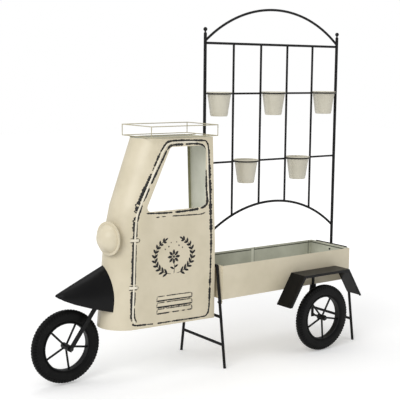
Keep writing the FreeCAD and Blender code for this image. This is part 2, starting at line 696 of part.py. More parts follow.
def axle(label, x, z, start, end):
    """A plain axle across the stand, from one side to the other."""
    return piece(label, rod(label, "axle_diameter", f"({end}) - ({start})", x, start, z, ALONG_Y))


def axle_nut(name, x, y, z):
    """A six-sided nut with a plain hole."""
    blank = doc.addObject("Part::Prism", name + "_blank")
    blank.Polygon = 6
    blank.setExpression("Circumradius", cells("nut_width / 2 / cos(30deg)"))
    blank.setExpression("Height", cells("nut_thickness"))
    hole = rod(name + "_hole", "axle_diameter", "nut_thickness", x, y, z, ALONG_Y)
    return less(name, put(blank, x, y, z, ALONG_Y), hole)


FRONT_AXLE_X = "(-front_axle_reach)"
FRONT_AXLE_Z = "(wheel_radius + front_wheel_lift)"
FRONT_HUB_NEAR = "(front_wheel_side - front_hub_near_reach)"
FRONT_HUB_FAR = "(front_wheel_side + front_hub_far_reach)"
BLADE_FAR = f"({FRONT_HUB_NEAR} - washer_gap)"
BLADE_NEAR = f"({BLADE_FAR} - blade_thickness)"
REAR_AXLE_X = "(tray_length - rear_axle_inset)"
REAR_AXLE_Z = "(wheel_radius + rear_wheel_lift)"
REAR_HUB_NEAR = "(-rear_wheel_side - rear_hub_length / 2)"
REAR_HUB_FAR = "(-rear_wheel_side + rear_hub_length / 2)"
TRAY_NEAR = "(-tray_width / 2)"
STRAP_TOP = "(rear_fender_top - fender_flange)"
FENDER_FRONT = f"({REAR_AXLE_X} - rear_fender_ahead)"
FENDER_BACK = f"({REAR_AXLE_X} + rear_fender_behind)"

tyre("front_tyre", FRONT_AXLE_X, "front_wheel_side", FRONT_AXLE_Z)
wheel_rim("front_wheel_rim", FRONT_AXLE_X, "front_wheel_side", FRONT_AXLE_Z, FRONT_HUB_NEAR,
          FRONT_HUB_FAR, FIRST_SPOKE["front"])
tyre("rear_tyre", REAR_AXLE_X, "-rear_wheel_side", REAR_AXLE_Z)
wheel_rim("rear_wheel_rim", REAR_AXLE_X, "-rear_wheel_side", REAR_AXLE_Z, REAR_HUB_NEAR,
          REAR_HUB_FAR, FIRST_SPOKE["rear"])
axle("front_axle", FRONT_AXLE_X, FRONT_AXLE_Z, f"{BLADE_NEAR} - nut_thickness",
     f"{FRONT_HUB_FAR} + washer_gap + nut_thickness")
axle("rear_axle", REAR_AXLE_X, REAR_AXLE_Z, f"{REAR_HUB_NEAR} - washer_gap - nut_thickness", TRAY_NEAR)

NUT_SEATS = {
    "front_near_nut": (FRONT_AXLE_X, f"{BLADE_NEAR} - nut_thickness", FRONT_AXLE_Z),
    "front_far_nut": (FRONT_AXLE_X, f"{FRONT_HUB_FAR} + washer_gap", FRONT_AXLE_Z),
    "rear_near_nut": (REAR_AXLE_X, f"{REAR_HUB_NEAR} - washer_gap - nut_thickness", REAR_AXLE_Z),
    "rear_far_nut": (REAR_AXLE_X, f"{TRAY_NEAR} - strap_thickness - nut_thickness", REAR_AXLE_Z),
}
piece("axle_nuts", group("axle_nuts", [axle_nut(name, *seat) for name, seat in NUT_SEATS.items()]))


# ---------------------------------------------------------------- blade and strap that hold the wheels
def front_blade():
    """A flat blade from the nose down to the axle, on the near side of the wheel."""
    axle_point = Vector(value(FRONT_AXLE_X), 0, value(FRONT_AXLE_Z))
    top = Vector(-value("blade_top_reach"), 0, value("blade_top_height"))
    way = (top - axle_point).normalize()
    across = Vector(way.z, 0, -way.x) * (value("blade_width") / 2)
    foot = axle_point - way * value("blade_end")
    side = Vector(0, value(BLADE_NEAR), 0)
    corners = [foot - across + side, foot + across + side, top + across + side, top - across + side]
    blade = Part.Face(Part.makePolygon(corners + corners[:1]))
    blade = blade.extrude(Vector(0, value("blade_thickness"), 0))
    hole = Part.makeCylinder(value("axle_diameter") / 2, value("blade_thickness"), axle_point + side,
                             Vector(0, 1, 0))
    return blade.cut(hole).cut(outer_form)


piece("front_wheel_blade", formed("front_wheel_blade", front_blade()))

strap = box("strap_bar", "strap_width", "strap_thickness",
            f"{STRAP_TOP} - {REAR_AXLE_Z} + strap_end",
            f"{REAR_AXLE_X} - strap_width / 2", f"{TRAY_NEAR} - strap_thickness",
            f"{REAR_AXLE_Z} - strap_end")
gusset = box("strap_gusset", "gusset_width", "strap_thickness", "gusset_height",
             f"{REAR_AXLE_X} - gusset_width / 2", f"{TRAY_NEAR} - strap_thickness",
             f"{TRAY_BOTTOM} - gusset_height")
strap_hole = rod("strap_hole", "axle_diameter", "strap_thickness", REAR_AXLE_X,
                 f"{TRAY_NEAR} - strap_thickness", REAR_AXLE_Z, ALONG_Y)
piece("rear_wheel_strap", less("rear_wheel_strap", joined("strap_welded", [strap, gusset]), strap_hole))


# ---------------------------------------------------------------- fenders
def hood_arch(x, ridge, spring, skirt, near, far):
    """The edges of one arch across the hood, from its far skirt over the ridge to its near skirt: two
    quarter ellipses that spring from upright skirts."""
    side = value("nose_fender_side")
    edges = [Part.makeLine(Vector(x, side + far, skirt), Vector(x, side + far, spring))]
    for width, start in ((far, 0), (near, 90)):
        quarter = Part.makeCircle(1, Vector(), Vector(0, 0, 1), start, start + 90)
        scale = Matrix()
        scale.scale(width, ridge - spring, 1)
        edge = quarter.transformGeometry(scale).Edges[0]
        edge.Placement = Placement(Vector(x, side, spring), Rotation(
            Vector(0, 1, 0), Vector(0, 0, 1), Vector(1, 0, 0)))
        edges.append(edge)
    edges.append(Part.makeLine(Vector(x, side - near, spring), Vector(x, side - near, skirt)))
    return edges


def nose_fender():
    """A hood over the front wheel: arches that grow from a pointed tip to the nose. At a share s of
    the way the ridge has risen by s, the skirt has dropped and the hood has widened by powers of s."""
    thick = value("fender_sheet")
    tip = value("nose_fender_tip_height")
    wires = []
    for share in (0.02, 0.12, 0.3, 0.55, 0.8, 1.1):
        x = -value("nose_fender_reach") + share * value(NOSE_FENDER_LENGTH)
        ridge = tip + share * value("nose_fender_ridge_rise")
        skirt = tip - share ** 0.65 * value("nose_fender_skirt_drop")
        spring = skirt + share * value("nose_fender_skirt_depth")
        near, far = (max(value(f"nose_fender_{way}_width") * share ** 0.55, 2 * thick)
                     for way in ("near", "far"))
        outer = hood_arch(x, ridge, spring, skirt, near, far)
        inner = hood_arch(x, ridge - thick, spring, skirt, near - thick, far - thick)
        hems = [Part.makeLine(Vector(x, value("nose_fender_side") + way * (reach - thick), skirt),
                              Vector(x, value("nose_fender_side") + way * reach, skirt))
                for way, reach in ((-1, near), (1, far))]
        wires.append(Part.Wire(Part.__sortEdges__(outer + inner + hems)))
    return Part.makeLoft(wires, True, True).cut(outer_form)


def rear_fender():
    """A folded hood over the rear wheel: a level top, a flap down each way, a lip along the outer
    edge and a flange against the tray."""
    top, foot = value("rear_fender_top"), value("flap_foot_height")
    front, back, reach = value(FENDER_FRONT), value(FENDER_BACK), value("flap_reach")
    thick = value("fender_sheet")
    outer = value(TRAY_NEAR) - value("rear_fender_width")
    bends = [Vector(front - reach, outer, foot), Vector(front, outer, top),
             Vector(back, outer, top), Vector(back + reach, outer, foot)]

    def band(depth):
        """The strip between the fold line and the same line moved inwards by depth."""
        slope = math.atan2(top - foot, reach)
        shift = depth * math.tan(slope / 2)
        run = depth / math.sin(slope)
        inside = [Vector(front - reach + run, outer, foot), Vector(front + shift, outer, top - depth),
                  Vector(back - shift, outer, top - depth), Vector(back + reach - run, outer, foot)]
        return Part.Face(Part.makePolygon(bends + inside[::-1] + bends[:1]))

    hood = band(thick).extrude(Vector(0, value("rear_fender_width"), 0))
    lip = band(value("fender_lip")).extrude(Vector(0, thick, 0))
    flange = Part.makeBox(back - front, thick, value("fender_flange"),
                          Vector(front, value(TRAY_NEAR) - thick, top - value("fender_flange")))
    return hood.fuse([lip, flange]).removeSplitter()


piece("nose_fender", formed("nose_fender", nose_fender()))
piece("rear_fender", formed("rear_fender", rear_fender()))


# ---------------------------------------------------------------- fasteners
def through_frame(kind, diameter, y, z):
    """Bolts through a bar of each leg frame and the tray's end behind it."""
    grip = f"({FRAME_REACH} + {diameter} / 2 + tray_sheet)"
    front = bolt(f"front_{kind}", f"{FRONT_FRAME_X} - {diameter} / 2", y, z, grip, ALONG_X)
    rear = bolt(f"rear_{kind}", "tray_length - tray_sheet", y, z, grip, ALONG_X)
    return [front, rear]


leg_bolts = []
for side in (-1, 1):
    leg_bolts += through_frame(f"leg_bolt_{side + 1}", "leg_diameter",
                               f"{side} * {leg_side(LEG_BOLT_HEIGHT)}", LEG_BOLT_HEIGHT)
piece("leg_bolts", group("leg_bolts", leg_bolts))
post_bolts = through_frame("post_bolt", "post_diameter", "0", POST_BOLT_HEIGHT)
piece("post_bolts", group("post_bolts", post_bolts))


def cab_bolt(name, wall_x, bar_diameter, y, z):
    """A bolt whose head is inside the cab and whose spacer keeps the back wall off the frame's bar."""
    bar_face = f"({FRONT_FRAME_X} - {bar_diameter} / 2 + weld_depth)"
    head = rod(name + "_head", "bolt_head_diameter", "bolt_head_height",
               f"{wall_x} - cab_sheet - bolt_head_height", y, z, ALONG_X)
    shank = rod(name + "_shank", "bolt_diameter", f"{bar_face} - {wall_x} + cab_sheet",
                f"{wall_x} - cab_sheet", y, z, ALONG_X)
    spacer = rod(name + "_spacer", "spacer_diameter", f"{bar_face} - {wall_x}", wall_x, y, z, ALONG_X)
    return joined(name, [head, shank, spacer])


LEANING_WALL = ("(-cab_back - cab_back_lean * (cab_bolt_high_height - cab_back_bend_height)"
                " / (cab_top - cab_back_bend_height))")
piece("cab_bolts", group("cab_bolts", [
    cab_bolt("cab_bolt_low", "(-cab_back)", "post_diameter", "0", "cab_bolt_low_height"),
    cab_bolt("cab_bolt_high", LEANING_WALL, "post_diameter", "0", "cab_bolt_high_height"),
    cab_bolt("cab_bolt_near", "(-cab_back)", "leg_diameter", "-cab_bolt_spread / 2", "cab_bar_height"),
    cab_bolt("cab_bolt_far", "(-cab_back)", "leg_diameter", "cab_bolt_spread / 2", "cab_bar_height"),
]))

side_bolts = []
for name, x in (("front", f"{FENDER_FRONT} + fender_bolt_inset"),
                ("back", f"{FENDER_BACK} - fender_bolt_inset")):
    side_bolts.append(bolt(f"fender_bolt_{name}", x, f"{TRAY_NEAR} - fender_sheet",
                           "(rear_fender_top - fender_flange / 2)", "(fender_sheet + tray_sheet)", ALONG_Y))
side_bolts.append(bolt("strap_bolt", REAR_AXLE_X, f"{TRAY_NEAR} - strap_thickness",
                       f"({TRAY_BOTTOM} + strap_bolt_rise)", "(strap_thickness + tray_sheet)", ALONG_Y))
piece("side_bolts", group("side_bolts", side_bolts))


# ---------------------------------------------------------------- check and write
doc.recompute()
for shape in doc.Objects:
    faults = {"Invalid", "Error"} & set(shape.State)
    if faults:
        raise RuntimeError(f"{shape.Name} is {sorted(faults)}")
for shape in pieces:
    if shape.Shape.isNull() or not shape.Shape.isValid() or not shape.Shape.Solids:
        raise RuntimeError(f"{shape.Label} has no sound solid")

os.makedirs("parts", exist_ok=True)
for shape in pieces:
    shape.Shape.exportStep(f"parts/{shape.Label}.step")
whole = Part.Compound([shape.Shape for shape in pieces]).BoundBox
print(f"{len(pieces)} pieces, {whole.XLength:.1f} x {whole.YLength:.1f} x {whole.ZLength:.1f} mm")
print(f"middle {whole.Center.x:.2f}, {whole.Center.y:.2f}, bottom {whole.ZMin:.2f}")
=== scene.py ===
"""Flower cart stand: enamelled sheet, black powder-coated bars, painted line-work, pots and tyres.

Places are in metres in the part's own frame: +X from the nose to the rear of the tray, -Y the side that
faces the room, +Z up, with the floor at zero.
"""
import json
import math

import bmesh
import bpy
import numpy as np
from bpy.props import FloatProperty, FloatVectorProperty, IntProperty, PointerProperty
from mathutils import Matrix, Vector

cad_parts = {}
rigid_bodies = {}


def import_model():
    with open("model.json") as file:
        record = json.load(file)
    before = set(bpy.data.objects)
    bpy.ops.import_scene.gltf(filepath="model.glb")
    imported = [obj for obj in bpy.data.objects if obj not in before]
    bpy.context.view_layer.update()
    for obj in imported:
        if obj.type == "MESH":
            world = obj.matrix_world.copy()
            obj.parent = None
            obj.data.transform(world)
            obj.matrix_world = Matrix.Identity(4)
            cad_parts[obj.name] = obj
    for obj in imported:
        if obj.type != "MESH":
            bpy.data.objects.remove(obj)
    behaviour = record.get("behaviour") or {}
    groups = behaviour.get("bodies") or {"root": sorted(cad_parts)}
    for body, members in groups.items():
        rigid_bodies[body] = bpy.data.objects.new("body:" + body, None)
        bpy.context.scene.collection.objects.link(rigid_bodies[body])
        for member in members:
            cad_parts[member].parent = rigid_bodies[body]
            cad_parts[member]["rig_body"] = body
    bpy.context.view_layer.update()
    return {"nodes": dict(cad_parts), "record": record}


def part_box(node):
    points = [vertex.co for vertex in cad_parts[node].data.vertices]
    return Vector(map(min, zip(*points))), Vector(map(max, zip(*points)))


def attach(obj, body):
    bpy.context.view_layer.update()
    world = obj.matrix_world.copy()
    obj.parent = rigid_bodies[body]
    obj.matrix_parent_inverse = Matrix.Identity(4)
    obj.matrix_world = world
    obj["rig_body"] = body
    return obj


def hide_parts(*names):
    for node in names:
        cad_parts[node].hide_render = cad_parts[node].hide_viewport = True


bl_info = {
    "name": "Flower cart stand",
    "version": (1, 0, 0),
    "blender": (4, 5, 0),
    "location": "View3D > Sidebar > Cart",
    "description": "Builds the looks of a planter stand that is shaped like a small three-wheeled cart",
    "category": "Object",
}

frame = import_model()
MM = 0.001
PAINT_IOR = 1.5
WHITE = (1.0, 1.0, 1.0, 1.0)
# The paint's faint clouds: their size, and where on their noise the dark and the light tone lie.
CLOUD_MM = 130
CLOUD_DARK, CLOUD_LIGHT = 0.36, 0.62

# The line-work is laid out in millimetres on the cab's near side: x from the tray's front, z from the
# floor.
TRAY_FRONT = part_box("tray_front_end")[0].x
MIDDLE_Y = (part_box("tray_near_side")[0].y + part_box("tray_far_side")[1].y) / 2
CAB_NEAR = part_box("cab_skin")[0].y
HALF_CAB = (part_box("cab_skin")[1].y - CAB_NEAR) / 2
# The nose is half an ellipse in plan. Its axis leans back from the foot to the roof.
NOSE_DEPTH = 112
NOSE_LEVELS = (218, 624, 736, 1018)
NOSE_AXIS = (-429, -391.2, -365.5, -262)


# ---------------------------------------------------------------- colours and materials
def linear(hex_colour):
    """An sRGB hex colour as linear RGBA: below 0.04045 divided by 12.92, above it a 2.4 power."""
    channels = [int(hex_colour[i:i + 2], 16) / 255 for i in (1, 3, 5)]
    return [c / 12.92 if c <= 0.04045 else ((c + 0.055) / 1.055) ** 2.4 for c in channels] + [1.0]


def add(tree, kind, sockets=None, **settings):
    """Add a shader node. Each entry of sockets is an input's name or number with what feeds it, or the
    value it is set to; the settings are the node's own."""
    node = tree.nodes.new(kind)
    for name, setting in settings.items():
        setattr(node, name, setting)
    for key, feed in (sockets or {}).items():
        if isinstance(feed, bpy.types.NodeSocket):
            tree.links.new(feed, node.inputs[key])
        else:
            node.inputs[key].default_value = feed
    return node


def material(name, build):
    """A material whose surface is the shader that build returns, made once."""
    made = bpy.data.materials.get(name)
    if made is None:
        made = bpy.data.materials.new(name)
        made.use_nodes = True
        made.node_tree.nodes.clear()
        shader = build(made.node_tree)
        add(made.node_tree, "ShaderNodeOutputMaterial", {"Surface": shader.outputs[0]})
    return made


def mottle(tree, size_mm, detail=3.0, roughness=0.55):
    """Soft blotches about size_mm across, from the object's own coordinates."""
    place = add(tree, "ShaderNodeTexCoord")
    noise = add(tree, "ShaderNodeTexNoise", {
        "Vector": place.outputs["Object"], "Scale": 1000.0 / size_mm, "Detail": detail,
        "Roughness": roughness})
    return noise.outputs["Fac"]


def ramp(tree, factor, *stops):
    """A colour ramp through (position, sRGB hex) stops."""
    node = add(tree, "ShaderNodeValToRGB", {"Fac": factor})
    elements = node.color_ramp.elements
    while len(elements) < len(stops):
        elements.new(0.5)
    for element, (position, colour) in zip(elements, stops):
        element.position = position
        element.color = linear(colour)
    return node.outputs["Color"]


def sprayed(name, light, dark, roughness, peel_mm, peel_depth, cloud_mm=CLOUD_MM, shine=0.5):
    """Sprayed paint on steel: an even colour with faint clouding, a gloss that varies with the
    clouding, and the fine ripple that the paint dries with."""
    def build(tree):
        clouds = mottle(tree, cloud_mm)
        colour = ramp(tree, clouds, (CLOUD_DARK, dark), (CLOUD_LIGHT, light))
        gloss = add(tree, "ShaderNodeMapRange", {
            "Value": clouds, "To Min": roughness - 0.05, "To Max": roughness + 0.07})
        bump = add(tree, "ShaderNodeBump", {
            "Height": mottle(tree, peel_mm, 1.0), "Strength": peel_depth, "Distance": 0.0006})
        return add(tree, "ShaderNodeBsdfPrincipled", {
            "Base Color": colour, "Roughness": gloss.outputs["Result"], "Normal": bump.outputs["Normal"],
            "IOR": PAINT_IOR, "Specular IOR Level": shine})
    return material(name, build)


def cream_enamel():
    """Stoved alkyd enamel on sheet steel: a warm cream with a soft, buttery gloss."""
    return sprayed("stoved_cream_enamel", "#ddd3ba", "#d4cab0", 0.40, 3.0, 0.10)


def shaded_pot_enamel():
    """The cream enamel on the pots, painted cooler and greyer: painted shade on the pots."""
    return sprayed("painted_shade_pot_enamel", "#d3cebd", "#cac5b4", 0.38, 3.0, 0.08)


def highlight_pale_enamel():
    """The same enamel on the raised beads and hinge knuckles, painted paler and a little drier: a painted
    highlight.
    """
    return sprayed("painted_highlight_pale_enamel", "#f0ead9", "#e2dac5", 0.5, 3.0, 0.10)


def shaded_wire_enamel():
    """The cream enamel on the thin rack wire, painted a shade darker and more olive than on sheet: painted
    shade.
    """
    return sprayed("painted_shade_wire_enamel", "#bdb69b", "#aca58a", 0.45, 3.0, 0.10)


def lit_pale_primer():
    """The primer inside the cab and on the tray's seam strip: pale grey-green and dull, painted paler than
    the tray's primer: painted light in the cab's shaded inside, and a painted highlight on the seam strip.
    """
    return sprayed("pale_green_primer_painted_light", "#e6e6d8", "#d8d9c9", 0.55, 2.5, 0.12)


def shade_enamel(folds):
    """The primer coat inside the tray: grey-green, thinner and duller than outside. A thin line of painted
    shade runs along each fold, given as its axis, its place along that axis and half its width."""
    def build(tree):
        clouds = mottle(tree, CLOUD_MM)
        place = add(tree, "ShaderNodeSeparateXYZ", {
            0: add(tree, "ShaderNodeTexCoord").outputs["Object"]})
        fold_shade = 0.0
        for axis, middle, half_width in folds:
            near = add(tree, "ShaderNodeMath", {
                0: place.outputs[axis], 1: middle, 2: half_width}, operation="COMPARE")
            either = add(tree, "ShaderNodeMath", {0: near.outputs[0], 1: fold_shade}, operation="MAXIMUM")
            fold_shade = either.outputs[0]
        paint = ramp(tree, clouds, (CLOUD_DARK, "#bdbeaf"), (CLOUD_LIGHT, "#d0d1c2"))
        # Painted shade: along the folds the primer turns to a dark grey-green.
        colour = add(tree, "ShaderNodeMix", {
            "Factor": fold_shade, 6: paint, 7: linear("#55574c")}, data_type="RGBA")
        gloss = add(tree, "ShaderNodeMapRange", {"Value": clouds, "To Min": 0.5, "To Max": 0.62})
        return add(tree, "ShaderNodeBsdfPrincipled", {
            "Base Color": colour.outputs[2], "Roughness": gloss.outputs["Result"], "IOR": PAINT_IOR})
    return material("grey_green_primer_with_painted_shade", build)


def shaded_olive_primer():
    """The same primer painted darker and olive on the back wall's flange that looks at the window: painted
    shade.
    """
    return sprayed("painted_shade_olive_primer", "#a09e7c", "#8d8b6b", 0.6, 2.5, 0.12)


def roof_enamel():
    """Enamel on the roof plate, greyer than the cream on the sides."""
    return sprayed("grey_roof_enamel", "#a4a597", "#929385", 0.6, 2.5, 0.15, 60)


def powder_coat():
    """Black polyester powder coat on steel bar: a deep satin black with a fine pebbled skin."""
    return sprayed("black_powder_coat", "#0a0a0b", "#070707", 0.45, 1.6, 0.02, shine=0.22)


def black_sheet_coat():
    """Powder coat over pressed sheet: the same black, a little glossier because the film is thicker."""
    return sprayed("black_sheet_coat", "#060607", "#040405", 0.36, 2.4, 0.05, shine=0.2)


def black_oxide():
    """Black-oxide steel fasteners: dark metal with a dull oily sheen."""
    def build(tree):
        colour = ramp(tree, mottle(tree, 4.0), (0.3, "#2a2a2b"), (0.7, "#3d3c3a"))
        return add(tree, "ShaderNodeBsdfPrincipled", {
            "Base Color": colour, "Metallic": 0.9, "Roughness": 0.45})
    return material("black_oxide_steel", build)


def tyre_rubber():
    """Vulcanised rubber: near black, dry and dull, with a dusty bloom in blotches."""
    def build(tree):
        colour = ramp(tree, mottle(tree, 45, 4.0, 0.6), (0.35, "#050505"), (0.75, "#0f0f0f"))
        bump = add(tree, "ShaderNodeBump", {
            "Height": mottle(tree, 1.5, 2.0), "Strength": 0.15, "Distance": 0.0005})
        return add(tree, "ShaderNodeBsdfPrincipled", {
            "Base Color": colour, "Normal": bump.outputs["Normal"], "Roughness": 0.5, "IOR": 1.52,
            "Specular IOR Level": 0.13})
    return material("vulcanised_rubber", build)


def line_paint(ink):
    """Black line paint, dry-brushed over the enamel, so that cream shows through in upright flecks
    about 5 mm wide and 12 mm long, more in some patches than in others."""
    def build(tree):
        place = add(tree, "ShaderNodeTexCoord")
        stretch = add(tree, "ShaderNodeMapping", {
            "Vector": place.outputs["Object"], "Scale": (200.0, 200.0, 83.0)})
        flecks = add(tree, "ShaderNodeTexNoise", {
            "Vector": stretch.outputs["Vector"], "Scale": 1.0, "Detail": 3.0, "Roughness": 0.6})
        together = add(tree, "ShaderNodeMath", {
            0: mottle(tree, 90, 1.0), 1: 0.9, 2: flecks.outputs["Fac"]}, operation="MULTIPLY_ADD")
        worn = add(tree, "ShaderNodeMapRange", {
            "Value": together.outputs[0], "From Min": 1.21, "From Max": 1.29})
        colour = add(tree, "ShaderNodeMix", {
            "Factor": worn.outputs["Result"], 6: (*ink, 1.0), 7: linear("#c9bfa6")}, data_type="RGBA")
        return add(tree, "ShaderNodeBsdfPrincipled", {
            "Base Color": colour.outputs[2], "Roughness": 0.6, "IOR": PAINT_IOR})
    return material("dry_brushed_line_paint", build)


def studio_floor(near_lift, far_lift):
    """A white paper sweep: matt, and white to the camera wherever no shadow falls. What the camera sees
    is lifted more the farther the paper is from the object, so that it meets the backdrop's white."""
    def build(tree):
        rays = add(tree, "ShaderNodeLightPath")
        seen = add(tree, "ShaderNodeMath", {
            0: rays.outputs["Is Camera Ray"], 1: rays.outputs["Is Glossy Ray"]}, operation="MAXIMUM")
        paper = add(tree, "ShaderNodeBsdfDiffuse", {"Color": linear("#f4f4f4")})
        place = add(tree, "ShaderNodeTexCoord")
        distance = add(tree, "ShaderNodeVectorMath", {0: place.outputs["Object"]}, operation="LENGTH")
        strength = add(tree, "ShaderNodeMapRange", {
            "Value": distance.outputs["Value"], "From Min": 0.9, "From Max": 3.6, "To Min": near_lift,
            "To Max": far_lift}, interpolation_type="SMOOTHSTEP")
        lift = add(tree, "ShaderNodeEmission", {
            "Color": WHITE, "Strength": strength.outputs["Result"]})
        lifted = add(tree, "ShaderNodeAddShader", {0: paper.outputs[0], 1: lift.outputs[0]})
        return add(tree, "ShaderNodeMixShader", {
            0: seen.outputs[0], 1: paper.outputs[0], 2: lifted.outputs[0]})
    return material("white_paper_sweep", build)


# ---------------------------------------------------------------- surfaces
def finished(name, mesh, finishes, body="stand", node=None, sharp_deg=35):
    """Link a mesh as a piece: shade it smooth across shallow edges, give it its finishes and its body."""
    for finish in finishes:
        mesh.materials.append(finish)
    mesh.validate()
    mesh.shade_smooth()
    mesh.set_sharp_from_angle(angle=math.radians(sharp_deg))
    made = bpy.data.objects.new(name, mesh)
    bpy.context.scene.collection.objects.link(made)
    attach(made, body)
    if node:
        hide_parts(node)
    return made


def grid_faces(rows, columns, wrap_rows=False, wrap_columns=False):
    """Quads of a rows by columns grid of points, closed round either way."""
    row = np.arange(rows if wrap_rows else rows - 1)[:, None]
    column = np.arange(columns if wrap_columns else columns - 1)[None, :]
    down, right = (row + 1) % rows, (column + 1) % columns
    corners = np.stack([row * columns + column, row * columns + right,
                        down * columns + right, down * columns + column], axis=-1)
    return corners.reshape(-1, 4)


def surface(name, points, faces):
    """A mesh from an array of points and an array of quads."""
    mesh = bpy.data.meshes.new(name)
    mesh.from_pydata(np.asarray(points, float).reshape(-1, 3).tolist(), [], faces.tolist())
    return mesh


def outward(mesh):
    """Merge doubles and turn every face of a closed mesh outwards."""
    work = bmesh.new()
    work.from_mesh(mesh)
    bmesh.ops.remove_doubles(work, verts=work.verts, dist=1e-6)
    bmesh.ops.recalc_face_normals(work, faces=work.faces)
    work.to_mesh(mesh)
    work.free()
    return mesh


def turned(name, profile, centre, axis, steps):
    """A closed profile of (radius, along) points swept once round an axis: each point goes to
    centre + along * axis + radius * (cos a * u + sin a * v), with u and v square to the axis."""
    axis = np.array(axis, float) / np.linalg.norm(axis)
    helper = np.array([0.0, 0.0, 1.0]) if abs(axis[2]) < 0.9 else np.array([1.0, 0.0, 0.0])
    u = np.cross(helper, axis)
    u /= np.linalg.norm(u)
    v = np.cross(axis, u)
    angle = np.linspace(0, 2 * math.pi, steps, endpoint=False)[:, None, None]
    radius, along = profile[None, :, 0:1], profile[None, :, 1:2]
    points = np.array(centre) + along * axis + radius * (np.cos(angle) * u + np.sin(angle) * v)
    return outward(surface(name, points, grid_faces(steps, len(profile), True, True)))


def dressed(node, finishes, pick=None, sharp_deg=35):
    """A CAD node's own faces, merged and shaded smooth. pick sorts faces among the finishes by their
    centres and normals."""
    source = frame["nodes"][node]
    mesh = source.data.copy()
    mesh.name = node + "_shown"
    mesh.materials.clear()
    if "custom_normal" in mesh.attributes:
        mesh.attributes.remove(mesh.attributes["custom_normal"])
    work = bmesh.new()
    work.from_mesh(mesh)
    bmesh.ops.remove_doubles(work, verts=work.verts, dist=2e-6)
    work.to_mesh(mesh)
    work.free()
    if pick:
        count = len(mesh.polygons)
        centres, normals = np.empty(count * 3), np.empty(count * 3)
        mesh.polygons.foreach_get("center", centres)
        mesh.polygons.foreach_get("normal", normals)
        chosen = pick(centres.reshape(-1, 3), normals.reshape(-1, 3)).astype(np.int32)
    made = finished(node + "_shown", mesh, finishes, source["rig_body"], node, sharp_deg)
    if pick:
        mesh.polygons.foreach_set("material_index", chosen)
    return made


# ---------------------------------------------------------------- strokes of paint on the cab's side
def through(points, per_span=8):
    """A smooth line through points: on each span the cubic whose slopes at the ends are half the
    difference of the neighbours."""
    p = np.array(points, float)
    padded = np.vstack([2 * p[0] - p[1], p, 2 * p[-1] - p[-2]])
    a, b, c, d = padded[:-3, None], padded[1:-2, None], padded[2:-1, None], padded[3:, None]
    t = np.linspace(0, 1, per_span, endpoint=False)[None, :, None]
    squared, cubed = 2 * a - 5 * b + 4 * c - d, 3 * b - a - 3 * c + d
    curve = 0.5 * (2 * b + (c - a) * t + squared * t ** 2 + cubed * t ** 3)
    return np.vstack([curve.reshape(-1, 2), p[-1:]])


def evenly(line, step_mm):
    """The same line with points every step_mm along it, and the distance along it of each."""
    along = np.concatenate([[0], np.cumsum(np.linalg.norm(np.diff(line, axis=0), axis=1))])
    want = np.linspace(0, along[-1], max(int(along[-1] / step_mm), 2) + 1)
    return np.stack([np.interp(want, along, line[:, k]) for k in (0, 1)], axis=1), want


def sideways(line):
    """Unit vectors square to a line in its plane."""
    way = np.gradient(line, axis=0)
    way /= np.linalg.norm(way, axis=1)[:, None]
    return np.stack([-way[:, 1], way[:, 0]], axis=1)


def brush(points, width, seed, gaps=(), rough=0.35, step=2.0):
    """A brush stroke as strips of quads: half its width either side of a smooth line, times a sum of
    three sines of chance phases, drawn in at both ends, and left out over the gaps (start, end). The
    width is one number, or several that are spread evenly along the stroke."""
    line, along = evenly(through(points), step)
    widths = np.atleast_1d(np.asarray(width, float))
    width = np.interp(along / along[-1], np.linspace(0, 1, len(widths)), widths)
    chance = np.random.default_rng(seed)
    ripple = sum(np.sin(along / wave + chance.uniform(0, 2 * math.pi)) for wave in (2.1, 5.3, 13.0)) / 3
    ends = np.clip(np.minimum(along, along[-1] - along) / 9, 0, 1) ** 0.6
    keep = np.ones(len(along), bool)
    for start, end in gaps:
        keep &= (along < start) | (along > end)
        near = np.minimum(np.abs(along - start), np.abs(along - end))
        ends = np.minimum(ends, np.clip(near / 6, 0.15, 1))
    half = width / 2 * (1 - rough / 2 + rough * ripple) * ends
    edge = sideways(line) * half[:, None]
    wobble = sideways(line) * (chance.normal(0, 0.25, len(along)))[:, None]
    points_2d = np.stack([line + edge + wobble, line - edge + wobble], axis=1)
    spans = np.flatnonzero(keep[:-1] & keep[1:])[:, None]
    quads = np.hstack([2 * spans, 2 * spans + 1, 2 * spans + 3, 2 * spans + 2])
    return points_2d.reshape(-1, 2), quads


def on_side(points_2d, out_mm):
    """Points laid on the cab's near side, out_mm proud of it, in the part's own frame. Behind the nose's
    axis the side is flat. Ahead of it, it falls away as half an ellipse: by half the cab's width times
    1 - sqrt(1 - share ** 2), where share is how far ahead of the axis a point is over the nose's depth."""
    flat = np.asarray(points_2d, float)
    proud = np.broadcast_to(out_mm, flat.shape[:1])
    axis = np.interp(flat[:, 1], NOSE_LEVELS, NOSE_AXIS)
    share = np.clip((axis - flat[:, 0]) / NOSE_DEPTH, 0, 0.99)
    away = HALF_CAB * (1 - np.sqrt(1 - share ** 2))
    return np.stack([TRAY_FRONT + flat[:, 0] * MM, CAB_NEAR + away - proud * MM, flat[:, 1] * MM], axis=1)


def painted(name, strips, finish):
    """Flat strips of paint on the side as one piece, thickened outwards."""
    lifted_mm, film_mm = 0.05, 0.3
    starts = np.cumsum([0] + [len(points) for points, _ in strips[:-1]])
    points = np.vstack([points for points, _ in strips])
    faces = np.vstack([quads + start for start, (_, quads) in zip(starts, strips)])
    mesh = surface(name, on_side(points, lifted_mm), faces)
    work = bmesh.new()
    work.from_mesh(mesh)
    loose = [vert for vert in work.verts if not vert.link_faces]
    bmesh.ops.delete(work, geom=loose, context="VERTS")
    backwards = [face for face in work.faces if face.normal.y > 0]
    bmesh.ops.reverse_faces(work, faces=backwards)
    work.to_mesh(mesh)
    work.free()
    made = finished(name, mesh, [finish])
    shell = made.modifiers.new("paint film", "SOLIDIFY")
    shell.thickness = film_mm * MM
    shell.offset = 1.0


